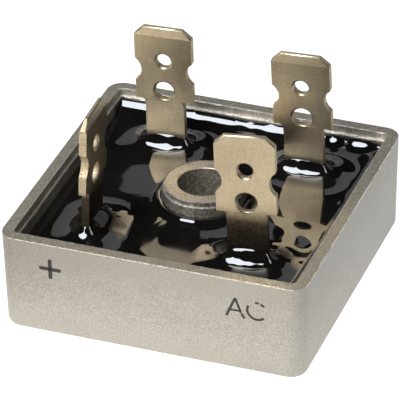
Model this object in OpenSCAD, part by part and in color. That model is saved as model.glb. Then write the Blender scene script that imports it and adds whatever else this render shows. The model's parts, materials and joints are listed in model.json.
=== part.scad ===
// Bridge rectifier: a square metal tray with a hollow screw post, potted full,
// with four push-on blades. Inside, four diode dice are soldered between two
// lower lead plates (direct current) and two upper ones (alternating current).

/* [Tray] */
// Width of the square tray at its rim
tray_side = 33; // [31.5:0.5:40]
// Height of the tray and of the post in it
tray_h = 11.1; // [10.6:0.1:14]
// How much each side draws in from rim to base
tray_draft = 0.2; // [0.05:0.05:0.4]
// Radius of the upright corners at the rim
tray_corner_r = 1.8; // [1.3:0.1:3]
// Rounding of the edge round the base
tray_base_r = 0.75; // [0.4:0.05:1]
// Width of the flat rim
rim_w = 1.3; // [1:0.1:1.6]
// Drop from the rim to the ledge inside it
ledge_drop = 0.8; // [0.4:0.1:1.2]
// Width of that ledge
ledge_w = 0.3; // [0.1:0.05:0.5]
// Radius of the well's upright corners
well_corner_r = 0.4; // [0.2:0.1:1]
// Thickness of the floor, which spreads the heat
floor_t = 2; // [1.2:0.1:3]

/* [Post] */
// Diameter of the screw hole
hole_d = 5.4; // [4.2:0.1:5.8]
// Outside diameter of the turned ring on top
ring_d = 8; // [7:0.1:8.6]
// Height of the turned ring
ring_h = 0.5; // [0.3:0.1:1]
// Width of the bevels on the ring's two edges
ring_bevel = 0.15; // [0.05:0.05:0.3]
// Diameter of the cast post just below the ring
post_d = 8.8; // [8.6:0.1:9.4]
// Diameter of the post where it meets the floor
post_foot_d = 9.2; // [9:0.1:10]

/* [Insulating wafer] */
// Thickness of the wafer under the lead plates
wafer_t = 0.6; // [0.3:0.1:1]
// Gap between the wafer's edge and the well
wafer_gap = 0.7; // [0.3:0.1:1.5]
// Gap between the wafer's hole and the post
wafer_hole_gap = 0.4; // [0.2:0.1:0.8]

/* [Diode dice] */
// Side of a square die
die_side = 5; // [3.5:0.1:5.6]
// Thickness of a die
die_t = 0.3; // [0.2:0.05:0.5]
// Thickness of each solder layer
solder_t = 0.15; // [0.1:0.01:0.25]
// How far the solder stays in from the die's edge
solder_inset = 0.3; // [0.1:0.05:0.6]
// Width of the junction coating round a die
coat_w = 0.5; // [0.3:0.1:0.8]
// Distance of each die's middle from the nearest wall of the well
die_in = 5.3; // [4.9:0.05:6]

/* [Lead plates] */
// Thickness of the strip that each lead is stamped from
strip_t = 0.8; // [0.6:0.05:0.9]
// Width of the arm that joins a lead's two pads
arm_w = 1.8; // [1.4:0.1:2]
// How far a pad reaches past the die on each side
pad_lap = 0.6; // [0.5:0.05:1]
// Inside radius of the bend from plate to neck
bend_r = 0.6; // [0.3:0.05:0.9]

/* [Blades] */
// Height of the blade tips above the base
blade_top = 23.4; // [21:0.1:27]
// Width of a push-on blade
blade_w = 6.3; // [5.6:0.05:6.6]
// Size of the corner cuts at the tip
tip_cut = 1; // [0.6:0.05:1.4]
// Length of the thinned end at the tip
taper_len = 1.05; // [0.6:0.05:1.4]
// How far each face is thinned at the very tip
taper_depth = 0.15; // [0.05:0.01:0.2]
// Distance from the tip to the latch hole
latch_down = 3.95; // [3:0.05:4.6]
// Diameter of the latch hole
latch_d = 1.6; // [1.3:0.05:2]
// Distance from the tip to the wire hole
wire_down = 7.6; // [6.9:0.05:8.1]
// Diameter of the wire hole
wire_d = 2.1; // [1.6:0.05:2.3]
// Width of the bevel round both holes
hole_bevel = 0.2; // [0.1:0.05:0.3]
// Distance from the tip to the middle of the side notches
notch_down = 5.25; // [4.9:0.05:5.7]
// Depth of the side notches
notch_depth = 0.7; // [0.4:0.05:0.9]
// Radius of the side notches
notch_r = 1.6; // [1.2:0.05:2]
// Distance from the tip to the shoulders
shoulder_down = 8.7; // [8.4:0.05:9.4]
// Width of the neck below the shoulders
neck_w = 4.25; // [3.6:0.05:4.8]
// Radius where the neck meets the shoulders
neck_fillet = 0.4; // [0.2:0.05:0.5]

/* [Where each blade stands] */
// Positive blade, which stands crosswise: distances from the left and front walls
pos_in = [5.7, 6.25]; // [5:0.05:8]
// Its turn past crosswise, lean and tilt in degrees
pos_stance = [1.8, 2.6, -0.8]; // [-6:0.1:6]
// Negative blade: distances from the right and back walls
neg_in = [6.7, 6.05]; // [5:0.05:8]
// Its turn, lean and tilt in degrees
neg_stance = [1.9, 2.5, -1.3]; // [-6:0.1:6]
// Front blade for alternating current: distances from the right and front walls
ac_front_in = [6.5, 5.3]; // [5:0.05:8]
// Its turn, lean and tilt in degrees
ac_front_stance = [5.9, -2.7, -2.2]; // [-6:0.1:6]
// Back blade for alternating current: distances from the left and back walls
ac_back_in = [7.5, 5.9]; // [5:0.05:8]
// Its turn, lean and tilt in degrees
ac_back_stance = [2.1, 0.3, -0.7]; // [-6:0.1:6]

/* [Potting] */
// Depth of the potting's surface below the rim
pot_down = 2.1; // [1.5:0.1:3]
// Radius of the creep up the well's walls and the post
wall_creep = 0.5; // [0.2:0.05:0.8]
// Radius of the creep up the necks
neck_creep = 0.8; // [0.3:0.05:1]
// Width of the resin's lip round each neck
creep_lip = 0.15; // [0.1:0.05:0.3]
// Depth below the surface at which the necks start to lean
lean_down = 1; // [0.5:0.1:2]

/* [Hidden] */
$fn = 64;
// cuts run past the surface by this much
over = 0.5;

// directions of the four dice, seen from above
right = 0;
back = 90;
left = 180;
front = 270;

rim_half = tray_side / 2;
base_half = rim_half - tray_draft;
corner_at = rim_half - tray_corner_r;
mouth_half = rim_half - rim_w;
well_half = mouth_half - ledge_w;
ledge_z = tray_h - ledge_drop;
pot_z = tray_h - pot_down;
lean_z = pot_z - lean_down;

// heights of the layers, from the floor up
wafer_z = floor_t;
lower_z = wafer_z + wafer_t;
solder_low_z = lower_z + strip_t;
die_z = solder_low_z + solder_t;
solder_top_z = die_z + die_t;
upper_z = solder_top_z + solder_t;

// middles of the four blades, and distance of each die from the post
pos_at = [pos_in[0] - well_half, pos_in[1] - well_half];
neg_at = [well_half - neg_in[0], well_half - neg_in[1]];
ac_front_at = [well_half - ac_front_in[0], ac_front_in[1] - well_half];
ac_back_at = [ac_back_in[0] - well_half, well_half - ac_back_in[1]];
die_at = well_half - die_in;

pad_side = die_side + 2 * pad_lap;
// outer edge of the plates and middle of their arms, seen from the post
plate_edge = die_at + pad_side / 2;
arm_mid = plate_edge - arm_w / 2;

// Section of one tray side: leaning wall, with a true round at the base
module side_section() {
    slant = atan(tray_draft / tray_h);
    reach = tray_base_r / tan((90 + slant) / 2);
    polygon([
        [0, 0],
        [base_half - reach, 0],
        [base_half + reach * sin(slant), reach * cos(slant)],
        [rim_half, tray_h],
        [0, tray_h]
    ]);
    translate([base_half - reach, tray_base_r]) circle(tray_base_r);
}

// Solid block with the tray's outside shape
module tray_block() {
    for (a = [0 : 90 : 270])
        rotate([0, 0, a])
            rotate([90, 0, 0])
                linear_extrude(2 * corner_at, center = true) side_section();
    for (a = [0 : 90 : 270])
        rotate([0, 0, a])
            translate([corner_at, corner_at, 0])
                rotate_extrude()
                    intersection() {
                        translate([-corner_at, 0]) side_section();
                        square([tray_corner_r + over, tray_h]);
                    }
}

// Square with round corners, centred
module round_square(half, r) {
    square([2 * half, 2 * (half - r)], center = true);
    square([2 * (half - r), 2 * half], center = true);
    for (x = [-1, 1], y = [-1, 1])
        translate([x * (half - r), y * (half - r)]) circle(r);
}

// The post without its hole: a tapered casting under a turned ring
module post_body() {
    taper_h = tray_h - ring_h - floor_t;
    translate([0, 0, floor_t]) cylinder(d1 = post_foot_d, d2 = post_d, h = taper_h);
    translate([0, 0, tray_h - ring_h]) cylinder(d = ring_d, h = ring_h - ring_bevel);
    translate([0, 0, tray_h - ring_bevel])
        cylinder(d1 = ring_d, d2 = ring_d - 2 * ring_bevel, h = ring_bevel);
}

module case_tray() {
    color("silver")
    difference() {
        union() {
            difference() {
                tray_block();
                translate([0, 0, floor_t])
                    linear_extrude(tray_h) round_square(well_half, well_corner_r);
                translate([0, 0, ledge_z])
                    linear_extrude(tray_h) round_square(mouth_half, well_corner_r);
            }
            post_body();
        }
        translate([0, 0, -over]) cylinder(d = hole_d, h = tray_h + 2 * over);
        translate([0, 0, tray_h - ring_bevel])
            cylinder(d1 = hole_d, d2 = hole_d + 4 * ring_bevel, h = 2 * ring_bevel);
    }
}

module base_insulator() {
    color("ivory")
    translate([0, 0, wafer_z])
        linear_extrude(wafer_t)
            difference() {
                round_square(well_half - wafer_gap, well_corner_r);
                circle(d = post_foot_d + 2 * wafer_hole_gap);
            }
}

// Blade and upper neck in outline: tip at the origin, reaching down
module blade_outline(reach) {
    difference() {
        union() {
            polygon([
                [-blade_w / 2 + tip_cut, 0],
                [blade_w / 2 - tip_cut, 0],
                [blade_w / 2, -tip_cut],
                [blade_w / 2, -shoulder_down],
                [-blade_w / 2, -shoulder_down],
                [-blade_w / 2, -tip_cut]
            ]);
            translate([-neck_w / 2, -reach]) square([neck_w, reach - shoulder_down + over]);
        }
        for (s = [-1, 1])
            translate([s * (blade_w / 2 - notch_depth + notch_r), -notch_down])
                circle(notch_r);
        translate([0, -latch_down]) circle(d = latch_d);
        translate([0, -wire_down]) circle(d = wire_d);
    }
    for (s = [-1, 1])
        difference() {
            translate([s * (neck_w + neck_fillet) / 2, -shoulder_down - neck_fillet / 2])
                square(neck_fillet, center = true);
            translate([s * (neck_w / 2 + neck_fillet), -shoulder_down - neck_fillet])
                circle(neck_fillet);
        }
}

// Wedge that thins one face towards the tip, seen from the blade's edge
module taper_section() {
    half = strip_t / 2;
    slope = taper_depth / taper_len;
    polygon([
        [half, -taper_len],
        [half + over, -taper_len],
        [half + over, over],
        [half - taper_depth - slope * over, over]
    ]);
}

// Push-on blade with thinned tip and bevelled holes, tip at the origin
module blade(reach) {
    difference() {
        rotate([90, 0, 0])
            linear_extrude(strip_t, center = true) blade_outline(reach);
        for (s = [0, 1])
            mirror([0, s, 0]) {
                rotate([90, 0, 90])
                    linear_extrude(blade_w + 2 * over, center = true) taper_section();
                for (h = [[latch_down, latch_d], [wire_down, wire_d]])
                    translate([0, strip_t / 2, -h[0]])
                        rotate([90, 0, 0])
                            cylinder(d1 = h[1] + 4 * hole_bevel, d2 = h[1],
                                     h = 2 * hole_bevel, center = true);
            }
    }
}

// Side view of a foot: flat run, round bend, then straight up to lean_z
module bend_section(level, run) {
    bend_at = strip_t / 2 + bend_r;
    rise = level + strip_t + bend_r;
    translate([bend_at, rise])
        intersection() {
            difference() {
                circle(bend_r + strip_t);
                circle(bend_r);
            }
            translate([-2 * bend_at, -2 * bend_at]) square(2 * bend_at);
        }
    translate([-strip_t / 2, rise]) square([strip_t, lean_z - rise]);
    translate([bend_at, level]) square([run - bend_at, strip_t]);
}

// Neck and blade of one lead. The foot runs off in the given direction, and
// above lean_z the strip turns, leans and tilts as it stands
module upright(at, foot, run, level, turn, stance) {
    reach = blade_top - lean_z;
    lean = sqrt(stance[1] * stance[1] + stance[2] * stance[2]);
    translate([at[0], at[1], 0])
        rotate([0, 0, foot])
            rotate([90, 0, 0])
                linear_extrude(neck_w, center = true) bend_section(level, run);
    translate([at[0], at[1], lean_z])
        rotate([0, 0, turn + stance[0]])
            rotate(a = lean, v = [stance[1], stance[2], 0])
                translate([0, 0, reach]) blade(reach + over);
}

// Flat plate of one lead round the corner at +x +y: two arms, a pad at each end
module foot_plate(level) {
    pad_from = die_at - pad_side / 2;
    arm_len = plate_edge + pad_side / 2;
    translate([0, 0, level])
        linear_extrude(strip_t) {
            translate([pad_from, -pad_side / 2]) square(pad_side);
            translate([-pad_side / 2, pad_from]) square(pad_side);
            translate([plate_edge - arm_w, -pad_side / 2]) square([arm_w, arm_len]);
            translate([-pad_side / 2, plate_edge - arm_w]) square([arm_len, arm_w]);
        }
}

module lead_positive() {
    color("tan") {
        rotate([0, 0, 180]) foot_plate(lower_z);
        upright(pos_at, left, arm_mid + pos_at[0], lower_z, 90, pos_stance);
    }
}

module lead_negative() {
    color("tan") {
        foot_plate(lower_z);
        upright(neg_at, back, arm_mid - neg_at[1], lower_z, 0, neg_stance);
    }
}

module lead_ac_front() {
    color("tan") {
        rotate([0, 0, 270]) foot_plate(upper_z);
        upright(ac_front_at, front, arm_mid + ac_front_at[1], upper_z, 0, ac_front_stance);
    }
}

module lead_ac_back() {
    color("tan") {
        rotate([0, 0, 90]) foot_plate(upper_z);
        upright(ac_back_at, back, arm_mid - ac_back_at[1], upper_z, 0, ac_back_stance);
    }
}

module at_die(direction, z) {
    rotate([0, 0, direction]) translate([die_at, 0, z]) children();
}

module die(direction) {
    color("dimgray")
    at_die(direction, die_z)
        translate([-die_side / 2, -die_side / 2, 0]) cube([die_side, die_side, die_t]);
}

module solder(direction, z) {
    solder_side = die_side - 2 * solder_inset;
    color("lightgray")
    at_die(direction, z)
        translate([-solder_side / 2, -solder_side / 2, 0])
            cube([solder_side, solder_side, solder_t]);
}

// Coating round the die's edge, which also fills in round both solder layers
module junction_coat(direction) {
    coat_side = die_side + 2 * coat_w;
    color("white")
    difference() {
        at_die(direction, solder_low_z)
            linear_extrude(upper_z - solder_low_z) square(coat_side, center = true);
        die(direction);
        solder(direction, solder_low_z);
        solder(direction, solder_top_z);
    }
}

// Concave fillet section, standing on the x axis against the y axis
module creep_section(r) {
    difference() {
        square(r);
        translate([r, r]) circle(r);
    }
}

// Creep round a neck: a low block a little wider than the neck, with a skirt
module neck_skirt(at, turn) {
    half_x = neck_w / 2 + creep_lip;
    half_y = strip_t / 2 + creep_lip;
    translate([at[0], at[1], pot_z])
        rotate([0, 0, turn]) {
            translate([-half_x, -half_y, -over])
                cube([2 * half_x, 2 * half_y, neck_creep + over]);
            for (s = [0, 1]) {
                mirror([0, s, 0])
                    translate([0, half_y, 0])
                        rotate([90, 0, 90])
                            linear_extrude(2 * half_x, center = true)
                                creep_section(neck_creep);
                mirror([s, 0, 0])
                    translate([half_x, 0, 0])
                        rotate([90, 0, 0])
                            linear_extrude(2 * half_y, center = true)
                                creep_section(neck_creep);
            }
            for (x = [-1, 1], y = [-1, 1])
                translate([x * half_x, y * half_y, 0])
                    rotate_extrude() creep_section(neck_creep);
        }
}

module potting_compound() {
    taper_h = tray_h - ring_h - floor_t;
    post_top_d = post_foot_d - (post_foot_d - post_d) * (pot_z - floor_t) / taper_h;
    color("black")
    difference() {
        union() {
            translate([0, 0, floor_t])
                linear_extrude(pot_z - floor_t) round_square(well_half, well_corner_r);
            intersection() {
                linear_extrude(tray_h) round_square(well_half, well_corner_r);
                for (a = [0 : 90 : 270])
                    rotate([0, 0, a])
                        translate([-well_half, 0, pot_z])
                            rotate([90, 0, 0])
                                linear_extrude(2 * well_half, center = true)
                                    creep_section(wall_creep);
            }
            translate([0, 0, pot_z])
                rotate_extrude() {
                    translate([post_top_d / 2, 0]) creep_section(wall_creep);
                    square([post_top_d / 2, wall_creep]);
                }
            neck_skirt(pos_at, 90 + pos_stance[0]);
            neck_skirt(neg_at, neg_stance[0]);
            neck_skirt(ac_front_at, ac_front_stance[0]);
            neck_skirt(ac_back_at, ac_back_stance[0]);
        }
        post_body();
        base_insulator();
        lead_positive();
        lead_negative();
        lead_ac_front();
        lead_ac_back();
        for (a = [right, back, left, front]) {
            die(a);
            solder(a, solder_low_z);
            solder(a, solder_top_z);
            junction_coat(a);
        }
    }
}

case_tray();
base_insulator();
lead_positive();
lead_negative();
lead_ac_front();
lead_ac_back();
die(front);  // die_front
die(right);  // die_right
die(back);  // die_back
die(left);  // die_left
solder(front, solder_low_z);  // solder_lower_front
solder(right, solder_low_z);  // solder_lower_right
solder(back, solder_low_z);  // solder_lower_back
solder(left, solder_low_z);  // solder_lower_left
solder(front, solder_top_z);  // solder_upper_front
solder(right, solder_top_z);  // solder_upper_right
solder(back, solder_top_z);  // solder_upper_back
solder(left, solder_top_z);  // solder_upper_left
junction_coat(front);  // junction_coat_front
junction_coat(right);  // junction_coat_right
junction_coat(back);  // junction_coat_back
junction_coat(left);  // junction_coat_left
potting_compound();
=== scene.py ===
import json
import math

import bmesh
import bpy
from mathutils import Matrix, Vector


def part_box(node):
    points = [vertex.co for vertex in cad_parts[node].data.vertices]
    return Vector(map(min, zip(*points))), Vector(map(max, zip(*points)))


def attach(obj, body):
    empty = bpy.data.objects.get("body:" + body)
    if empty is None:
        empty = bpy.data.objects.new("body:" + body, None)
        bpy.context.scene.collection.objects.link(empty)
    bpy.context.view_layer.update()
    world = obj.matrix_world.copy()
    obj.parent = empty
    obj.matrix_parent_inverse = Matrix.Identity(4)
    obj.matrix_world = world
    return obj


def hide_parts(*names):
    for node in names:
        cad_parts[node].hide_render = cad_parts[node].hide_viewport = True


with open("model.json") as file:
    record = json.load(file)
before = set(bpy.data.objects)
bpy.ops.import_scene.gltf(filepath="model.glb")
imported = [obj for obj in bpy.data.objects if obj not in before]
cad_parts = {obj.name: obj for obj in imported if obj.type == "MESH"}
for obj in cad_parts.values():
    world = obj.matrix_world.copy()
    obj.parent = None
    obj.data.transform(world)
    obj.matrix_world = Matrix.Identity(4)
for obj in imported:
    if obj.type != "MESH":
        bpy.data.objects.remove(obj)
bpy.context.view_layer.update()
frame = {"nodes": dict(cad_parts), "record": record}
mounts = {mount["name"]: mount for mount in frame["record"]["mounts"]}
print("frame loaded:", len(frame["nodes"]), "nodes")

# small tools
# Pieces are modelled in millimetres and shrunk to metres when they are finished.

cutterLength = 40  # drills and cores go right through the part


def boxMm(node):
    low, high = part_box(node)
    return low * 1000, high * 1000


def workOn(piece):  # this piece alone is selected and active
    if bpy.context.mode != "OBJECT":
        bpy.ops.object.mode_set(mode="OBJECT")
    bpy.ops.object.select_all(action="DESELECT")
    piece.select_set(True)
    bpy.context.view_layer.objects.active = piece


def openMesh(piece):
    workOn(piece)
    bpy.ops.object.mode_set(mode="EDIT")
    bpy.ops.mesh.select_all(action="DESELECT")


def closeMesh():
    bpy.ops.object.mode_set(mode="OBJECT")


def pick(kind, test):  # selects the verts, edges or faces that pass the test
    bpy.ops.mesh.select_mode(type=kind)
    bpy.ops.mesh.select_all(action="DESELECT")
    mesh = bmesh.from_edit_mesh(bpy.context.edit_object.data)
    parts = {"VERT": mesh.verts, "EDGE": mesh.edges, "FACE": mesh.faces}[kind]
    picked = [part for part in parts if test(part)]
    for part in picked:
        part.select_set(True)
    mesh.select_flush_mode()
    bmesh.update_edit_mesh(bpy.context.edit_object.data)


def middle(part):
    return sum((v.co for v in part.verts), Vector()) / len(part.verts)


def along(edge):
    return (edge.verts[1].co - edge.verts[0].co).normalized()


def addCube(name, size, centre):
    bpy.ops.object.select_all(action="DESELECT")
    bpy.ops.mesh.primitive_cube_add(size=1, location=centre, scale=size)
    bpy.ops.object.transform_apply(location=True, rotation=True, scale=True)
    piece = bpy.context.object
    piece.name = name
    return piece


def addCylinder(name, radius, height, centre, turned=(0, 0, 0), sides=96):
    bpy.ops.object.select_all(action="DESELECT")
    bpy.ops.mesh.primitive_cylinder_add(vertices=sides, radius=radius, depth=height,
                                        location=centre, rotation=turned)
    bpy.ops.object.transform_apply(location=True, rotation=True, scale=True)
    piece = bpy.context.object
    piece.name = name
    return piece


def bevelPicked(width, steps):
    bpy.ops.mesh.bevel(offset_type="OFFSET", offset=width, segments=steps, profile=0.5,
                       affect="EDGES", clamp_overlap=False)


def extrudePicked(move):
    bpy.ops.mesh.extrude_region_move(TRANSFORM_OT_translate={"value": move})


def applyModifier(piece, kind, **settings):
    workOn(piece)
    modifier = piece.modifiers.new(kind.title(), kind)
    for key, value in settings.items():
        setattr(modifier, key, value)
    bpy.ops.object.modifier_apply(modifier=modifier.name)


def combine(piece, tool, how):  # boolean with a tool that is used up
    applyModifier(piece, "BOOLEAN", object=tool, operation=how, solver="EXACT")
    bpy.data.objects.remove(tool)


def smoothTo(piece, degrees, flatOver=None):  # faces over that many square mm stay flat
    workOn(piece)
    bpy.ops.object.shade_smooth_by_angle(angle=math.radians(degrees))
    if flatOver:
        openMesh(piece)
        pick("FACE", lambda face: face.calc_area() > flatOver)
        bpy.ops.mesh.faces_shade_flat()
        closeMesh()
    else:
        applyModifier(piece, "WEIGHTED_NORMAL", keep_sharp=True)


def finishPiece(piece, slotName, *nodes):  # nodes are the solids that it stands for
    workOn(piece)
    piece.scale = (0.001, 0.001, 0.001)
    bpy.ops.object.transform_apply(location=True, rotation=True, scale=True)
    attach(piece, "root")
    if nodes:
        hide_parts(*nodes)
    print("made", piece.name, "with", len(piece.data.polygons), "faces")


# materials


def hexColour(code):  # sRGB hex to the linear colour that a shader wants
    parts = [int(code[i:i + 2], 16) / 255 for i in (1, 3, 5)]
    return [p / 12.92 if p <= 0.04045 else ((p + 0.055) / 1.055) ** 2.4 for p in parts] + [1]


def addNode(tree, kind, settings=None, links=None):
    node = tree.nodes.new(kind)
    for key, value in (settings or {}).items():
        if isinstance(key, int) or key in node.inputs:
            node.inputs[key].default_value = value
        else:
            setattr(node, key, value)
    for key, source in (links or {}).items():
        tree.links.new(source, node.inputs[key])
    return node


def startMaterial(name):
    material = bpy.data.materials.new(name)
    material.use_nodes = True
    tree = material.node_tree
    tree.nodes.clear()
    shader = addNode(tree, "ShaderNodeBsdfPrincipled")
    addNode(tree, "ShaderNodeOutputMaterial", links={"Surface": shader.outputs["BSDF"]})
    place = addNode(tree, "ShaderNodeTexCoord").outputs["Object"]
    return material, tree, shader, place


def grain(tree, place, size, detail=2.0, rough=0.5, stretch=(1, 1, 1)):  # size in mm
    held = addNode(tree, "ShaderNodeMapping", {"Scale": stretch}, {"Vector": place})
    return addNode(tree, "ShaderNodeTexNoise",
                   {"Scale": 1000 / size, "Detail": detail, "Roughness": rough},
                   {"Vector": held.outputs["Vector"]}).outputs["Fac"]


def ramp(tree, source, stops):  # stops are (position, hex colour or grey)
    node = addNode(tree, "ShaderNodeValToRGB", links={"Fac": source})
    bar = node.color_ramp.elements
    for i, (spot, colour) in enumerate(stops):
        stop = bar[i] if i < 2 else bar.new(spot)
        stop.position = spot
        stop.color = hexColour(colour) if isinstance(colour, str) else [colour] * 3 + [1]
    return node.outputs["Color"]


def mixColours(tree, share, first, second):
    node = addNode(tree, "ShaderNodeMix", {"data_type": "RGBA"})
    for key, value in ((0, share), (6, first), (7, second)):
        if isinstance(value, (int, float, list)):
            node.inputs[key].default_value = value
        else:
            tree.links.new(value, node.inputs[key])
    return node.outputs[2]


def bump(tree, height, depth, under=None):  # depth in mm
    links = {"Height": height}
    if under:
        links["Normal"] = under
    return addNode(tree, "ShaderNodeBump", {"Strength": 1.0, "Distance": depth / 1000},
                   links).outputs["Normal"]


def tumbledAluminium():  # die cast, tumbled with media: a fine pearly grain
    material, tree, shader, place = startMaterial("tumbledAluminium")
    fine = grain(tree, place, 0.17, 3, 0.7)
    broad = grain(tree, place, 2.5, 2)
    skin = ramp(tree, fine, [(0.34, "#8d8982"), (0.68, "#cbc9c3")])
    cloud = ramp(tree, broad, [(0.35, "#afaba3"), (0.65, "#b6b4ae")])
    even = mixColours(tree, 0.35, skin, cloud)
    # painted shade: the outside is mixed towards a darker grey higher up, from 3 mm to 9.5 mm,
    # where it mirrors less of the bright floor
    height = addNode(tree, "ShaderNodeSeparateXYZ", links={"Vector": place}).outputs["Z"]
    paintedUpperShade = addNode(tree, "ShaderNodeMapRange",
                      {"From Min": 0.003, "From Max": 0.0095, "To Min": 0.0, "To Max": 0.3},
                      {"Value": height}).outputs["Result"]
    tree.links.new(mixColours(tree, paintedUpperShade, even, hexColour("#86827a")),
                   shader.inputs["Base Color"])
    tree.links.new(ramp(tree, fine, [(0.3, 0.42), (0.7, 0.58)]), shader.inputs["Roughness"])
    tree.links.new(bump(tree, fine, 0.03), shader.inputs["Normal"])
    shader.inputs["Metallic"].default_value = 1
    return material


def pressedRim():  # flattened by the press: warmer, with bright specks left by the cut
    material, tree, shader, place = startMaterial("pressedRim")
    fine = grain(tree, place, 0.2, 4, 0.75)
    broad = grain(tree, place, 1.6, 3)
    skin = ramp(tree, fine, [(0.35, "#8f8778"), (0.66, "#efe7d6")])
    cloud = ramp(tree, broad, [(0.35, "#b1a793"), (0.65, "#c2baaa")])
    tree.links.new(mixColours(tree, 0.35, skin, cloud), shader.inputs["Base Color"])
    tree.links.new(ramp(tree, fine, [(0.3, 0.42), (0.7, 0.6)]), shader.inputs["Roughness"])
    tree.links.new(bump(tree, fine, 0.03), shader.inputs["Normal"])
    shader.inputs["Metallic"].default_value = 1
    return material


def paintedHighlightEdge():  # painted highlight: the rim's outer edge is coloured bright in short lengths, for the light its bevel catches
    material, tree, shader, place = startMaterial("paintedHighlightEdge")
    highlightBreaks = grain(tree, place, 0.7, 4, 0.7)
    skin = ramp(tree, highlightBreaks, [(0.4, "#b0a999"), (0.55, "#f6efdf")])
    tree.links.new(skin, shader.inputs["Base Color"])
    tree.links.new(ramp(tree, highlightBreaks, [(0.4, 0.5), (0.6, 0.24)]), shader.inputs["Roughness"])
    shader.inputs["Metallic"].default_value = 1
    return material


def castGrit(name, dark, light, footShade):  # inside, as it left the die: coarse glittering grit
    material, tree, shader, place = startMaterial(name)
    grit = grain(tree, place, 0.3, 5, 0.8)
    drag = grain(tree, place, 0.7, 3, 0.6, (1, 1, 0.3))
    skin = ramp(tree, drag, [(0.35, dark), (0.65, light)])
    specks = ramp(tree, grit, [(0.42, dark), (0.66, "#f4f0e6")])
    # painted shade: the foot of the back wall is darkened, fading out between 9.7 mm and 10.2 mm
    # up
    spot = addNode(tree, "ShaderNodeSeparateXYZ", links={"Vector": place})
    low = addNode(tree, "ShaderNodeMapRange",
                  {"From Min": 0.0097, "From Max": 0.0102, "To Min": footShade, "To Max": 0.0},
                  {"Value": spot.outputs["Z"]}).outputs["Result"]
    behind = addNode(tree, "ShaderNodeMath", {"operation": "GREATER_THAN", 1: 0.013},
                     {0: spot.outputs["Y"]}).outputs["Value"]
    shadedFoot = addNode(tree, "ShaderNodeMath", {"operation": "MULTIPLY"},
                      {0: low, 1: behind}).outputs["Value"]
    tree.links.new(mixColours(tree, shadedFoot, mixColours(tree, 0.6, skin, specks),
                              hexColour("#25221e")), shader.inputs["Base Color"])
    tree.links.new(ramp(tree, grit, [(0.35, 0.6), (0.7, 0.34)]), shader.inputs["Roughness"])
    rough = bump(tree, drag, 0.05)
    tree.links.new(bump(tree, grit, 0.09, rough), shader.inputs["Normal"])
    shader.inputs["Metallic"].default_value = 1
    return material


def paintedNeckReflection(tree, place, plainColour):  # painted reflection: low on the front necks the colour turns dark brown, for the dark resin and wall they mirror
    spot = addNode(tree, "ShaderNodeSeparateXYZ", links={"Vector": place})
    uneven = grain(tree, place, 0.25, 4, 0.75)
    low = addNode(tree, "ShaderNodeMapRange",
                  {"From Min": 0.0136, "From Max": 0.0152, "To Min": 1.0, "To Max": 0.0},
                  {"Value": spot.outputs["Z"]}).outputs["Result"]
    front = addNode(tree, "ShaderNodeMath", {"operation": "LESS_THAN", 1: 0.0},
                    {0: spot.outputs["Y"]}).outputs["Value"]
    amount = addNode(tree, "ShaderNodeMath", {"operation": "MULTIPLY"},
                     {0: low, 1: front}).outputs["Value"]
    brown = ramp(tree, uneven, [(0.35, "#3c352c"), (0.75, "#6e6454")])
    return mixColours(tree, amount, plainColour, brown)


def platedStrip():  # rolled strip, nickel plated: champagne satin, faint rolling lines
    material, tree, shader, place = startMaterial("platedStrip")
    lines = grain(tree, place, 0.3, 3, 0.6, (1, 1, 0.1))
    satin = grain(tree, place, 0.14, 3, 0.7)
    blotch = grain(tree, place, 2.2, 3, 0.55)
    strip = ramp(tree, lines, [(0.3, "#a79a82"), (0.7, "#bbae95")])
    cloud = ramp(tree, blotch, [(0.3, "#998a70"), (0.7, "#c0b39a")])
    sheen = mixColours(tree, 0.4, strip, cloud)
    frost = ramp(tree, satin, [(0.35, "#93876f"), (0.65, "#cbc0a8")])
    plainColour = mixColours(tree, 0.4, sheen, frost)
    tree.links.new(paintedNeckReflection(tree, place, plainColour), shader.inputs["Base Color"])
    tree.links.new(ramp(tree, blotch, [(0.3, 0.36), (0.7, 0.27)]), shader.inputs["Roughness"])
    ridged = bump(tree, lines, 0.002)
    tree.links.new(bump(tree, satin, 0.004, ridged), shader.inputs["Normal"])
    shader.inputs["Metallic"].default_value = 1
    return material


def shearedEdge():  # where the press tool cut the strip: pale, torn, no rolling lines
    material, tree, shader, place = startMaterial("shearedEdge")
    torn = grain(tree, place, 0.18, 4, 0.7)
    plainColour = ramp(tree, torn, [(0.35, "#9b8d72"), (0.65, "#d8ccb2")])
    tree.links.new(paintedNeckReflection(tree, place, plainColour), shader.inputs["Base Color"])
    tree.links.new(ramp(tree, torn, [(0.3, 0.75), (0.7, 0.55)]), shader.inputs["Roughness"])
    tree.links.new(bump(tree, torn, 0.02), shader.inputs["Normal"])
    shader.inputs["Metallic"].default_value = 1
    return material


def pouredEpoxy():  # poured black epoxy: its own skin is the gloss
    material, tree, shader, place = startMaterial("pouredEpoxy")
    haze = grain(tree, place, 3, 2)
    tree.links.new(ramp(tree, haze, [(0.3, "#0b0a09"), (0.7, "#11100f")]),
                   shader.inputs["Base Color"])
    tree.links.new(ramp(tree, haze, [(0.3, 0.02), (0.7, 0.05)]), shader.inputs["Roughness"])
    shader.inputs["IOR"].default_value = 1.6
    return material


def stampedInk():  # pad printed: dry, a little uneven
    material, tree, shader, place = startMaterial("stampedInk")
    dry = grain(tree, place, 0.2, 3)
    tree.links.new(ramp(tree, dry, [(0.3, "#1e1d1c"), (0.7, "#383533")]),
                   shader.inputs["Base Color"])
    shader.inputs["Roughness"].default_value = 0.7
    return material


def firedCeramic():  # fired alumina: chalk white and dry
    material, tree, shader, place = startMaterial("firedCeramic")
    body = grain(tree, place, 0.3, 3)
    tree.links.new(ramp(tree, body, [(0.3, "#e4e1d8"), (0.7, "#f0eee6")]),
                   shader.inputs["Base Color"])
    shader.inputs["Roughness"].default_value = 0.75
    return material


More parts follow.
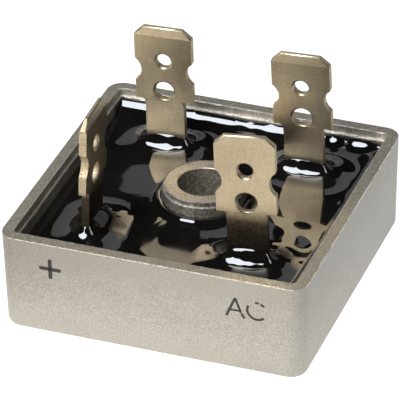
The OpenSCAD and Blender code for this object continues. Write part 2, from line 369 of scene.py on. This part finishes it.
def polishedSilicon():  # polished wafer: cold dark grey with a tight shine
    material, tree, shader, place = startMaterial("polishedSilicon")
    wafer = grain(tree, place, 0.8, 2)
    tree.links.new(ramp(tree, wafer, [(0.3, "#3b3c44"), (0.7, "#4b4d57")]),
                   shader.inputs["Base Color"])
    shader.inputs["Roughness"].default_value = 0.2
    shader.inputs["Metallic"].default_value = 0.6
    return material


def reflowedSolder():  # frozen solder: dull silver with a faint frost
    material, tree, shader, place = startMaterial("reflowedSolder")
    frost = grain(tree, place, 0.25, 3)
    tree.links.new(ramp(tree, frost, [(0.3, "#8f9092"), (0.7, "#b4b5b6")]),
                   shader.inputs["Base Color"])
    shader.inputs["Roughness"].default_value = 0.45
    shader.inputs["Metallic"].default_value = 1
    return material


def siliconeCoat():  # silicone rubber: milky, with a soft sheen
    material, tree, shader, place = startMaterial("siliconeCoat")
    skin = grain(tree, place, 0.6, 2)
    tree.links.new(ramp(tree, skin, [(0.3, "#d8d6cf"), (0.7, "#e6e4de")]),
                   shader.inputs["Base Color"])
    shader.inputs["Roughness"].default_value = 0.5
    return material


# tray

trayShape = {
    "draft": 0.2,
    "cornerRadius": 1.8, "cornerSteps": 12,
    "baseRound": 0.75, "baseSteps": 6,
    "rimWidth": 1.3,
    "ledgeDrop": 0.8,
    "ledgeWidth": 0.3,
    "floor": 2.0,
    "rimEdge": 0.1,      # bevel of the rim's outer edge
    "mouthEdge": 0.15,   # bevel of its inner edge
    "ledgeEdge": 0.12,
    "wobble": 0.035,     # unevenness of the cast edges
    "wobbleCuts": 90, "wobbleFrom": 20,  # cuts in each edge longer than this
}
postShape = {
    "footRadius": 5.0,
    "footHeight": 1,     # where it starts, inside the floor
    "topRadius": 4.4,
    "ringRadius": 4.0,
    "ringHeight": 0.5,
    "ringEdge": 0.15,
    "shoulderEdge": 0.12,
}


def castTray():
    low, high = boxMm("case_tray")
    side, height = high.x - low.x, high.z
    shape = trayShape
    half = side / 2
    mouth = half - shape["rimWidth"]
    well = mouth - shape["ledgeWidth"]
    shell = addCube("trayShell", (side, side, height), (0, 0, height / 2))

    openMesh(shell)
    pick("FACE", lambda face: face.normal.z < -0.9)
    narrow = 1 - 2 * shape["draft"] / side
    bpy.ops.transform.resize(value=(narrow, narrow, 1), center_override=(0, 0, 0))
    pick("EDGE", lambda edge: abs(along(edge).z) > 0.9)
    bevelPicked(shape["cornerRadius"], shape["cornerSteps"])
    pick("EDGE", lambda edge: middle(edge).z < 0.01)
    bevelPicked(shape["baseRound"], shape["baseSteps"])
    pick("FACE", lambda face: face.normal.z > 0.9)
    bpy.ops.mesh.inset(thickness=shape["rimWidth"])
    extrudePicked((0, 0, -shape["ledgeDrop"]))
    bpy.ops.mesh.inset(thickness=shape["ledgeWidth"])
    extrudePicked((0, 0, shape["floor"] - height + shape["ledgeDrop"]))

    def atRim(edge, lo, hi):
        spot = middle(edge)
        reach = max(abs(spot.x), abs(spot.y))
        flat = all(abs(vert.co.z - height) < 0.01 for vert in edge.verts)
        return (flat and lo < reach < hi and len(edge.link_faces) == 2
                and edge.calc_face_angle() > 1)

    pick("EDGE", lambda edge: atRim(edge, mouth + 0.6, half + 1))
    bevelPicked(shape["rimEdge"], 2)
    pick("EDGE", lambda edge: atRim(edge, mouth - 1, mouth + 0.3))
    bevelPicked(shape["mouthEdge"], 2)
    ledge = height - shape["ledgeDrop"]
    pick("EDGE", lambda edge: abs(middle(edge).z - ledge) < 0.01 and abs(along(edge).z) < 0.1
         and edge.calc_face_angle_signed() > 1)
    bevelPicked(shape["ledgeEdge"], 2)

    # the long inner edges are cut up and shaken a little, as cast edges are
    def longInside(edge):
        spot = middle(edge)
        reach = max(abs(spot.x), abs(spot.y))
        return (edge.calc_length() > shape["wobbleFrom"] and reach < mouth + 0.2
                and spot.z > shape["floor"] + 1)

    pick("EDGE", longInside)
    bpy.ops.mesh.subdivide(number_cuts=shape["wobbleCuts"])
    pick("VERT", lambda vert: shape["floor"] + 1 < vert.co.z < height - 0.01
         and max(abs(vert.co.x), abs(vert.co.y)) < mouth + 0.05)
    bpy.ops.transform.vertex_random(offset=shape["wobble"], uniform=0, normal=0, seed=3)
    closeMesh()

    postFrom, postTo = postShape["footHeight"], height - postShape["ringHeight"]
    post = addCylinder("post", postShape["footRadius"], postTo - postFrom,
                       (0, 0, (postTo + postFrom) / 2))
    openMesh(post)
    pick("FACE", lambda face: face.normal.z > 0.9)
    taper = postShape["topRadius"] / postShape["footRadius"]
    bpy.ops.transform.resize(value=(taper, taper, 1), center_override=(0, 0, 0))
    pick("EDGE", lambda edge: middle(edge).z > postTo - 0.1 and abs(along(edge).z) < 0.1)
    bevelPicked(postShape["shoulderEdge"], 3)
    pick("FACE", lambda face: face.normal.z > 0.9)
    bpy.ops.mesh.inset(thickness=postShape["topRadius"] - postShape["shoulderEdge"]
                       - postShape["ringRadius"])
    extrudePicked((0, 0, postShape["ringHeight"]))
    closeMesh()
    combine(shell, post, "UNION")

    holeMm = mounts["mounting_hole"]["dims"]["r_mm"]
    combine(shell, addCylinder("drill", holeMm, cutterLength, (0, 0, 0)), "DIFFERENCE")
    openMesh(shell)
    pick("EDGE", lambda edge: abs(middle(edge).z - height) < 0.005
         and edge.verts[0].co.xy.length < postShape["ringRadius"] + 0.1
         and abs(edge.verts[0].co.z - edge.verts[1].co.z) < 0.001
         and edge.calc_face_angle() > 1)
    bevelPicked(postShape["ringEdge"], 3)
    closeMesh()

    for material in (tumbledAluminium(), pressedRim(), paintedHighlightEdge(),
                     # painted light and shade: the same cast grit is coloured darker on the post
                     # and lighter in the well
                     castGrit("shadedPostGrit", "#706c64", "#a9a59b", 0.0),
                     # the last argument sets how strongly the painted shade darkens the foot of
                     # the back wall
                     castGrit("litWellGrit", "#b8b3a9", "#f0ece2", 0.85)):
        shell.data.materials.append(material)
    outside, top, highlitEdge, onPost, inWell = range(5)
    for face in shell.data.polygons:
        spot, up = face.center, face.normal.z
        reach = max(abs(spot.x), abs(spot.y))
        if spot.xy.length < postShape["footRadius"] + 1:
            ring = spot.z > height - 0.3 and up > 0.3
            face.material_index = top if ring else onPost
            if spot.z < shape["floor"]:
                face.material_index = outside
        # painted highlight: the rim's outer bevel faces take the bright edge colour
        elif reach > half - shape["rimEdge"] * 1.2 and 0.2 < up < 0.98:
            face.material_index = highlitEdge
        elif up > 0.98 and spot.z > height - 0.05:
            face.material_index = top
        elif reach < mouth + 0.2 and spot.z > 1:
            face.material_index = inWell
        else:
            face.material_index = outside
    smoothTo(shell, 32)
    finishPiece(shell, "tray_metal", "case_tray")


castTray()

# leads

bladeShape = {
    "width": 6.3,
    "thick": 0.8,
    "mountDown": 4.0,    # from the tip to the record's mount point
    "tipCut": 1.0,       # corners cut off at the tip
    "taperLength": 1.05, "taperDepth": 0.15, "tipRound": 0.16,
    "latchDown": 3.95, "latchRadius": 0.8,
    "wireDown": 7.6, "wireRadius": 1.05,
    "holeBevel": 0.2,
    "notchDown": 5.25, "notchDepth": 0.7, "notchRadius": 1.6,
    "shoulderDown": 8.7,
    "neck": 4.25,
    "neckFillet": 0.4,
    "bendRadius": 0.6,
    "edgeRound": 0.07,
    "neckStub": 7,       # how far the neck reaches before it is trimmed
    "leanFrom": 8.0,     # the strip is upright below this height and leans above it
}
plateShape = {"padSide": 6.2, "edge": 12.7, "padFrom": 6.5, "arm": 1.8}
# turn, lean and tilt of each blade, which way its foot and its plate point, and the plate's level
leadPlaces = {
    "lead_positive": {"mount": "blade_positive", "turn": 91.8, "lean": 2.6, "tilt": -0.8,
                      "foot": 180, "plate": 180, "level": 2.6},
    "lead_negative": {"mount": "blade_negative", "turn": 1.9, "lean": 2.5, "tilt": -1.3,
                      "foot": 90, "plate": 0, "level": 2.6},
    "lead_ac_front": {"mount": "blade_ac_front", "turn": 5.9, "lean": -2.7, "tilt": -2.2,
                      "foot": 270, "plate": 270, "level": 4.0},
    "lead_ac_back": {"mount": "blade_ac_back", "turn": 2.1, "lean": 0.3, "tilt": -0.7,
                     "foot": 90, "plate": 90, "level": 4.0},
}


def stampBlade():  # tip at the origin, reaching down
    shape = bladeShape
    width, thick, down = shape["width"], shape["thick"], shape["shoulderDown"]
    blade = addCube("blade", (width, thick, down), (0, 0, -down / 2))
    openMesh(blade)
    pick("EDGE", lambda edge: abs(along(edge).y) > 0.9 and middle(edge).z > -0.01)
    bevelPicked(shape["tipCut"], 1)
    for side in (-1, 1):
        pick("FACE", lambda face: face.normal.z < -0.9)
        bpy.ops.mesh.bisect(plane_co=(side * shape["neck"] / 2, 0, 0), plane_no=(1, 0, 0))
    pick("FACE", lambda face: face.normal.z < -0.9 and abs(middle(face).x) < 0.1)
    extrudePicked((0, 0, -shape["neckStub"]))
    pick("EDGE", lambda edge: abs(along(edge).y) > 0.9 and abs(middle(edge).z + down) < 0.01
         and abs(abs(middle(edge).x) - shape["neck"] / 2) < 0.01)
    bevelPicked(shape["neckFillet"], 5)
    slope = math.atan2(shape["taperDepth"], shape["taperLength"])
    for side in (-1, 1):
        bpy.ops.mesh.select_all(action="SELECT")
        bpy.ops.mesh.bisect(plane_co=(0, side * thick / 2, -shape["taperLength"]),
                            plane_no=(0, side * math.cos(slope), math.sin(slope)),
                            use_fill=True, clear_outer=True)
    pick("EDGE", lambda edge: middle(edge).z > -shape["tipCut"] + 0.01
         and abs(along(edge).y) < 0.5 and abs(middle(edge).y) > 0.1
         and edge.calc_face_angle() > 1)
    bevelPicked(shape["tipRound"], 4)
    closeMesh()

    out = width / 2 - shape["notchDepth"] + shape["notchRadius"]
    across = (math.pi / 2, 0, 0)
    for side in (-1, 1):
        punch = addCylinder("punch", shape["notchRadius"], 4,
                            (side * out, 0, -shape["notchDown"]), across, 64)
        combine(blade, punch, "DIFFERENCE")
    holes = (("latchDown", "latchRadius"), ("wireDown", "wireRadius"))
    for down, radius in holes:
        punch = addCylinder("punch", shape[radius], 4, (0, 0, -shape[down]), across, 48)
        combine(blade, punch, "DIFFERENCE")

    def onRim(edge):
        if abs(abs(middle(edge).y) - thick / 2) > 0.01 or abs(along(edge).y) > 0.1:
            return False
        for down, radius in holes:
            away = [math.hypot(v.co.x, v.co.z + shape[down]) for v in edge.verts]
            if all(abs(far - shape[radius]) < 0.01 for far in away):
                return True
        return False

    openMesh(blade)
    pick("EDGE", onRim)
    bevelPicked(shape["holeBevel"], 3)
    closeMesh()
    for material in (platedStrip(), shearedEdge()):
        blade.data.materials.append(material)
    for face in blade.data.polygons:  # sheared all round, but plated over the rounded tip
        rounded = face.center.z > -shape["tipCut"] and abs(face.normal.y) > 0.1
        if abs(face.normal.y) < 0.6 and not rounded:
            face.material_index = 1
    return blade


def stampPlate():  # L with a pad at each end, round the corner at +x +y
    shape = plateShape
    half = shape["padSide"] / 2
    edge, inner = shape["edge"], shape["edge"] - shape["arm"]
    centre = (edge - half) / 2
    bpy.ops.object.select_all(action="DESELECT")
    bpy.ops.mesh.primitive_plane_add(size=edge + half, location=(centre, centre, 0))
    bpy.ops.object.transform_apply(location=True, rotation=True, scale=True)
    plate = bpy.context.object
    openMesh(plate)
    for cut in (half, shape["padFrom"], inner):
        for normal in ((1, 0, 0), (0, 1, 0)):
            bpy.ops.mesh.select_all(action="SELECT")
            bpy.ops.mesh.bisect(plane_co=(cut, cut, 0), plane_no=normal)

    def outside(face):
        x, y = middle(face).x, middle(face).y
        pad = (x > shape["padFrom"] and y < half) or (y > shape["padFrom"] and x < half)
        return not (pad or x > inner or y > inner)

    pick("FACE", outside)
    bpy.ops.mesh.delete(type="FACE")
    bpy.ops.mesh.select_all(action="SELECT")
    bpy.ops.mesh.dissolve_limited(angle_limit=0.01)
    pick("FACE", lambda face: True)
    extrudePicked((0, 0, bladeShape["thick"]))
    bpy.ops.mesh.select_all(action="SELECT")
    bpy.ops.mesh.normals_make_consistent(inside=False)
    closeMesh()
    return plate


def makeLeads():
    master = stampBlade()
    thick = bladeShape["thick"]
    bendAt = thick / 2 + bladeShape["bendRadius"]
    for node, place in leadPlaces.items():
        mount = mounts[place["mount"]]
        axis = Vector(mount["axis"])
        tip = Vector(mount["pos_m"]) * 1000 + axis * bladeShape["mountDown"]
        bow = math.hypot(place["lean"], place["tilt"])
        stand = (Matrix.Translation(tip)
                 @ Matrix.Rotation(math.radians(place["turn"]), 4, "Z")
                 @ Matrix.Rotation(math.radians(bow), 4,
                                   Vector((place["lean"], place["tilt"], 0))))
        lead = master.copy()
        lead.data = master.data.copy()
        lead.name = node + "_strip"
        bpy.context.scene.collection.objects.link(lead)
        workOn(lead)
        lead.matrix_world = stand
        bpy.ops.object.transform_apply(location=True, rotation=True, scale=True)

        # the neck ends straight down, then goes round a bend and out to the plate
        leanFrom = bladeShape["leanFrom"]
        foot = math.radians(place["foot"])
        away = Vector((math.cos(foot), math.sin(foot), 0))
        rise = place["level"] + thick + bladeShape["bendRadius"]
        openMesh(lead)
        pick("FACE", lambda face: middle(face).z < leanFrom + 0.2 and face.normal.z < -0.9)
        end = next(f for f in bmesh.from_edit_mesh(lead.data).faces if f.select)
        foothold = middle(end)
        bpy.ops.transform.resize(value=(1, 1, 0), center_override=(0, 0, leanFrom))
        extrudePicked((0, 0, rise - leanFrom))
        hinge = (foothold.x + away.x * bendAt, foothold.y + away.y * bendAt, rise)
        bpy.ops.mesh.spin(steps=8, angle=math.radians(90), center=hinge,
                          axis=(-away.y, away.x, 0))
        run = plateShape["edge"] - plateShape["arm"] / 2 - foothold.dot(away) - bendAt
        extrudePicked(tuple(away * run))
        bpy.ops.mesh.select_all(action="SELECT")
        bpy.ops.mesh.remove_doubles(threshold=0.0005)
        bpy.ops.mesh.normals_make_consistent(inside=False)
        closeMesh()

        plate = stampPlate()
        workOn(plate)
        plate.location.z = place["level"]
        plate.rotation_euler.z = math.radians(place["plate"])
        bpy.ops.object.transform_apply(location=True, rotation=True, scale=True)
        combine(lead, plate, "UNION")
        applyModifier(lead, "BEVEL", width=bladeShape["edgeRound"], segments=2,
                      limit_method="ANGLE", angle_limit=math.radians(50),
                      use_clamp_overlap=True, material=1)
        smoothTo(lead, 35, 0.3)
        finishPiece(lead, "plated_blade", node)
    bpy.data.objects.remove(master)


makeLeads()

# resin

resinShape = {
    "level": 8.82,
    "cells": 256,
    "bottomGap": 0.02,   # kept from the solid's underside
    "coreGap": 0.15,     # how far it runs in under the post's skin
    "stillEdge": 0.3,    # width along the walls that isn't smoothed
    "neckSmooth": 26, "lastSmooth": 6,
    # what is pulled up to start each form, with the rest of the surface following
    "swellPick": 0.12, "archPick": 0.45, "wallPick": 0.02,
    "neckInset": 0.05, "neckGap": 0.02,
    # height and reach of each creep, broad then close
    "neckCreep": ((1.0, 4.0), (0.58, 1.3)),
    "neckArch": (0.3, 2.3),
    "postCreep": ((0.42, 6.4), (0.26, 0.7)),
    "wallCreep": ((0.12, 3.0), (0.45, 1.2)),
    "backCreep": ((0.6, 7.0),),
}
# slow swells left as the resin cured: x, y, reach, height
resinSwells = [
    (11.5, -1.5, 5.0, 0.18), (0.0, 10.5, 5.0, -0.03),
    (-6.0, 14.9, 2.5, 0.12), (0.0, 14.9, 2.0, -0.15), (5.0, 14.9, 2.5, 0.10),
    (8.3, 15.0, 1.0, -0.3), (10.7, 14.9, 1.0, -0.32), (14.4, 15.0, 1.6, -0.3),
    (14.9, -8.0, 3.0, 0.10), (14.9, 3.0, 2.5, -0.12),
]


def pourResin():
    low, high = boxMm("potting_compound")
    half = min(high.x, high.y)
    shape = resinShape
    bpy.ops.object.select_all(action="DESELECT")
    bpy.ops.mesh.primitive_grid_add(x_subdivisions=shape["cells"], y_subdivisions=shape["cells"],
                                    size=2 * half, location=(0, 0, shape["level"]))
    bpy.ops.object.transform_apply(location=True, rotation=True, scale=True)
    resin = bpy.context.object
    resin.name = "resinPour"
    openMesh(resin)

    def lift(height, reach, falloff):
        bpy.ops.transform.translate(value=(0, 0, height), use_proportional_edit=True,
                                    proportional_edit_falloff=falloff, proportional_size=reach)

    def creep(steps):
        for height, reach in steps:
            lift(height, reach, "SHARP")

    def smoothInside(repeat):
        pick("VERT", lambda vert: max(abs(vert.co.x), abs(vert.co.y)) < half - shape["stillEdge"])
        bpy.ops.mesh.vertices_smooth(factor=0.5, repeat=repeat)

    for x, y, reach, height in resinSwells:
        spot = Vector((x, y))
        pick("VERT", lambda vert: (vert.co.xy - spot).length < shape["swellPick"])
        lift(height, reach, "SMOOTH")
    # the resin creeps up whatever stands in it
    for place in leadPlaces.values():
        mount = mounts[place["mount"]]
        axis = Vector(mount["axis"])
        spot = Vector(mount["pos_m"]) * 1000
        spot = spot - axis * (spot.z - shape["level"]) / axis.z
        back = Matrix.Rotation(-math.radians(place["turn"]), 2)
        halfWide = bladeShape["neck"] / 2 - shape["neckInset"]
        halfThick = bladeShape["thick"] / 2 + shape["neckGap"]

        def underNeck(vert):
            here = back @ (vert.co.xy - spot.xy)
            return abs(here.x) < halfWide and abs(here.y) < halfThick

        pick("VERT", underNeck)
        creep(shape["neckCreep"])
        pick("VERT", lambda vert: underNeck(vert)
             and (vert.co.xy - spot.xy).length < shape["archPick"])
        lift(*shape["neckArch"], "SMOOTH")
    smoothInside(shape["neckSmooth"])
    pick("VERT", lambda vert: vert.co.xy.length < postShape["footRadius"])
    creep(shape["postCreep"])
    wallFrom = half - shape["wallPick"]
    pick("VERT", lambda vert: max(vert.co.x, abs(vert.co.y)) > wallFrom)
    creep(shape["wallCreep"])
    pick("VERT", lambda vert: vert.co.y > wallFrom)
    creep(shape["backCreep"])
    smoothInside(shape["lastSmooth"])
    # sides and bottom of the block that the resin sets to
    pick("EDGE", lambda edge: edge.is_boundary)
    extrudePicked((0, 0, -1))
    bpy.ops.transform.resize(value=(1, 1, 0), center_override=(0, 0, low.z + shape["bottomGap"]))
    bpy.ops.mesh.edge_face_add()
    bpy.ops.mesh.select_all(action="SELECT")
    bpy.ops.mesh.normals_make_consistent(inside=False)
    closeMesh()
    core = addCylinder("core", postShape["topRadius"] - shape["coreGap"], cutterLength, (0, 0, 0))
    combine(resin, core, "DIFFERENCE")
    resin.data.materials.append(pouredEpoxy())
    smoothTo(resin, 40)
    finishPiece(resin, "potting_resin", "potting_compound")


pourResin()

# printed marks

markShape = {
    "plusAt": (-10.75, 8.15), "plusSize": 2.4, "plusStroke": 0.42,
    "letterHeight": 2.3, "letterStroke": 0.26,
    "letterA": (9.25, 7.75), "letterFoot": 0.92,  # half the width at its foot
    # the C is printed in pieces: start and end in degrees, and share of the stroke
    "letterC": (11.55, 7.75), "letterGaps": ((38, 66, 1), (74, 104, 0.9), (146, 315, 1)),
    "film": 0.012,
}


def printMarks():
    low, high = boxMm("case_tray")
    ink = []

    def inkBar(start, end, stroke):
        start, end = Vector(start), Vector(end)
        run = end - start
        centre = (start + end) / 2
        bpy.ops.object.select_all(action="DESELECT")
        bpy.ops.mesh.primitive_plane_add(size=1, location=(centre.x, centre.y, 0),
                                         rotation=(0, 0, math.atan2(run.y, run.x)))
        bar = bpy.context.object
        bar.scale = (run.length + stroke, stroke, 1)
        bpy.ops.object.transform_apply(location=True, rotation=True, scale=True)
        openMesh(bar)
        bpy.ops.mesh.select_mode(type="VERT")
        bpy.ops.mesh.select_all(action="SELECT")
        bpy.ops.mesh.bevel(offset=stroke * 0.4, segments=4, affect="VERTICES")
        closeMesh()
        ink.append(bar)

    def inkArc(centre, radius, start, end, stroke):
        bpy.ops.object.select_all(action="DESELECT")
        bpy.ops.mesh.primitive_circle_add(vertices=72, radius=radius + stroke / 2,
                                          location=(centre[0], centre[1], 0))
        bpy.ops.object.transform_apply(location=True, rotation=True, scale=True)
        arc = bpy.context.object
        openMesh(arc)

        def offArc(vert):
            angle = math.degrees(math.atan2(vert.co.y - centre[1], vert.co.x - centre[0])) % 360
            return not start <= angle <= end

        pick("VERT", offArc)
        bpy.ops.mesh.delete(type="VERT")
        bpy.ops.mesh.select_all(action="SELECT")
        bpy.ops.mesh.extrude_edges_move()
        inner = (radius - stroke / 2) / (radius + stroke / 2)
        bpy.ops.transform.resize(value=(inner, inner, 1),
                                 center_override=(centre[0], centre[1], 0))
        closeMesh()
        ink.append(arc)

    x, z = markShape["plusAt"]
    reach = (markShape["plusSize"] - markShape["plusStroke"]) / 2
    inkBar((x - reach, z), (x + reach, z), markShape["plusStroke"])
    inkBar((x, z - reach), (x, z + reach), markShape["plusStroke"])
    x, z = markShape["letterA"]
    tall, stroke = markShape["letterHeight"] / 2, markShape["letterStroke"]
    foot = markShape["letterFoot"]  # the A: two legs, the right one broken, and the bar
    inkBar((x - foot, z - tall + 0.1), (x - 0.04, z + tall - 0.12), stroke)
    inkBar((x + 0.04, z + tall - 0.12), (x + 0.62 * foot, z - tall * 0.36), stroke)
    inkBar((x + 0.76 * foot, z - tall * 0.6), (x + foot, z - tall + 0.1), stroke)
    inkBar((x - 0.6 * foot, z - tall * 0.3), (x + 0.5 * foot, z - tall * 0.3), stroke * 0.85)
    x, z = markShape["letterC"]
    for start, end, share in markShape["letterGaps"]:
        inkArc((x, z), tall - stroke / 2, start, end, stroke * share)

    workOn(ink[0])
    for bar in ink:
        bar.select_set(True)
    bpy.ops.object.join()
    marks = bpy.context.object
    marks.name = "printedMarks"
    # stand the print up on the front face, which leans out towards the rim
    slope = math.atan2(trayShape["draft"], high.z)
    marks.rotation_euler.x = math.pi / 2 + slope
    marks.location.y = low.y + trayShape["draft"]
    bpy.ops.object.transform_apply(location=True, rotation=True, scale=True)
    applyModifier(marks, "SOLIDIFY", thickness=markShape["film"], offset=1)
    marks.data.materials.append(stampedInk())
    finishPiece(marks, "potting_resin")  # the record's nearest black


printMarks()

# what lies inside the resin

hiddenFinishes = {  # by how the node's name starts
    "base_insulator": firedCeramic(),
    "die_": polishedSilicon(),
    "solder_": reflowedSolder(),
    "junction_coat_": siliconeCoat(),
}
for name, node in frame["nodes"].items():
    for start, finish in hiddenFinishes.items():
        if name.startswith(start):
            node.data.materials.clear()
            node.data.materials.append(finish)
print("inner nodes finished")

# floor, lights and camera

studio = {
    "floorSize": 6.0, "paper": "#303030", "glow": 1.42,
    "frontGlow": "#fffaf2", "dimGlow": "#b0aba3", "backGlow": "#dcdcdd",
    "turn": 50, "nearEdge": -0.092, "farEdge": 0.022,
    "sky": "#1a1b1c",
}
lampPlaces = {  # place and size in metres, watts and colour
    "keyBox": {"at": (-0.29, -0.79, 0.53), "size": (0.5, 0.5), "power": 8, "colour": "#fffaf3"},
    "topBox": {"at": (-0.30, -0.24, 0.92), "size": (0.46, 0.38), "power": 9.6,
               "colour": "#f1f6ff"},
    "ceilingCard": {"at": (-0.14, 0.94, 0.88), "size": (0.42, 0.30), "power": 0.26,
                    "colour": "#ffffff"},
    "leftCard": {"at": (-0.60, 0.96, 0.37), "size": (0.44, 0.52), "power": 0.33,
                 "colour": "#ffffff"},
    "rightCard": {"at": (0.64, 0.95, 0.36), "size": (0.5, 0.5), "power": 0.28,
                  "colour": "#fff8ee"},
    "rightTop": {"at": (0.55, 0.10, 0.85), "size": (0.25, 0.25), "power": 1.05,
                 "colour": "#ffffff"},
}
cameraView = {
    "azimuth": 20.54, "elevation": 32.12, "roll": -1.06,
    "distance": 0.407, "aim": (0, 0, 0.00579),
    "right": 0.000482, "up": -0.002582, "lens": 349.8,
}


def lightTable():  # opal sheet lit from below, with one dimmer band that the blades mirror
    material, tree, shader, place = startMaterial("lightTable")
    away = addNode(tree, "ShaderNodeMapping", {"Rotation": (0, 0, math.radians(studio["turn"]))},
                   {"Vector": place}).outputs["Vector"]
    depth = addNode(tree, "ShaderNodeSeparateXYZ", links={"Vector": away}).outputs["Y"]
    share = addNode(tree, "ShaderNodeMapRange",
                    {"From Min": studio["nearEdge"], "From Max": studio["farEdge"]},
                    {"Value": depth}).outputs["Result"]
    front, dim, behind = studio["frontGlow"], studio["dimGlow"], studio["backGlow"]
    glow = ramp(tree, share, [(0, front), (0.3, front), (0.47, dim), (0.6, front),
                              (0.72, front), (1, behind)])
    tree.links.new(glow, shader.inputs["Emission Color"])
    shader.inputs["Emission Strength"].default_value = studio["glow"]
    shader.inputs["Base Color"].default_value = hexColour(studio["paper"])
    shader.inputs["Roughness"].default_value = 0.9
    return material


def lightStudio():
    bpy.ops.mesh.primitive_plane_add(size=studio["floorSize"])
    floor = bpy.context.object
    floor.name = "floor"
    floor.data.materials.append(lightTable())

    world = bpy.data.worlds.new("studio")
    world.use_nodes = True
    sky = world.node_tree.nodes["Background"]
    sky.inputs["Color"].default_value = hexColour(studio["sky"])
    bpy.context.scene.world = world

    for name, place in lampPlaces.items():
        lamp = bpy.data.objects.new(name, bpy.data.lights.new(name, "AREA"))
        lamp.data.shape = "RECTANGLE"
        lamp.data.size, lamp.data.size_y = place["size"]
        lamp.data.energy = place["power"]
        lamp.data.color = hexColour(place["colour"])[:3]
        spot = Vector(place["at"])
        lamp.matrix_world = (Matrix.Translation(spot)
                             @ spot.to_track_quat("Z", "Y").to_matrix().to_4x4())
        bpy.context.scene.collection.objects.link(lamp)


def placeCamera():
    view = cameraView
    azimuth, elevation = math.radians(view["azimuth"]), math.radians(view["elevation"])
    back = Vector((math.sin(azimuth) * math.cos(elevation),
                   -math.cos(azimuth) * math.cos(elevation), math.sin(elevation)))
    right = Vector((0, 0, 1)).cross(back).normalized()
    up = back.cross(right)
    roll = math.radians(view["roll"])
    x = right * math.cos(roll) + up * math.sin(roll)
    y = up * math.cos(roll) - right * math.sin(roll)
    spot = Vector(view["aim"]) + back * view["distance"] - x * view["right"] - y * view["up"]
    camera = bpy.data.objects.new("camera", bpy.data.cameras.new("camera"))
    camera.matrix_world = Matrix((x, y, back)).transposed().to_4x4()
    camera.location = spot
    camera.data.lens = view["lens"]
    camera.data.sensor_width = 36
    camera.data.clip_start = 0.01
    bpy.context.scene.collection.objects.link(camera)
    bpy.context.scene.camera = camera


lightStudio()
placeCamera()
bpy.context.scene.view_settings.view_transform = "Standard"
print("lights and camera placed")
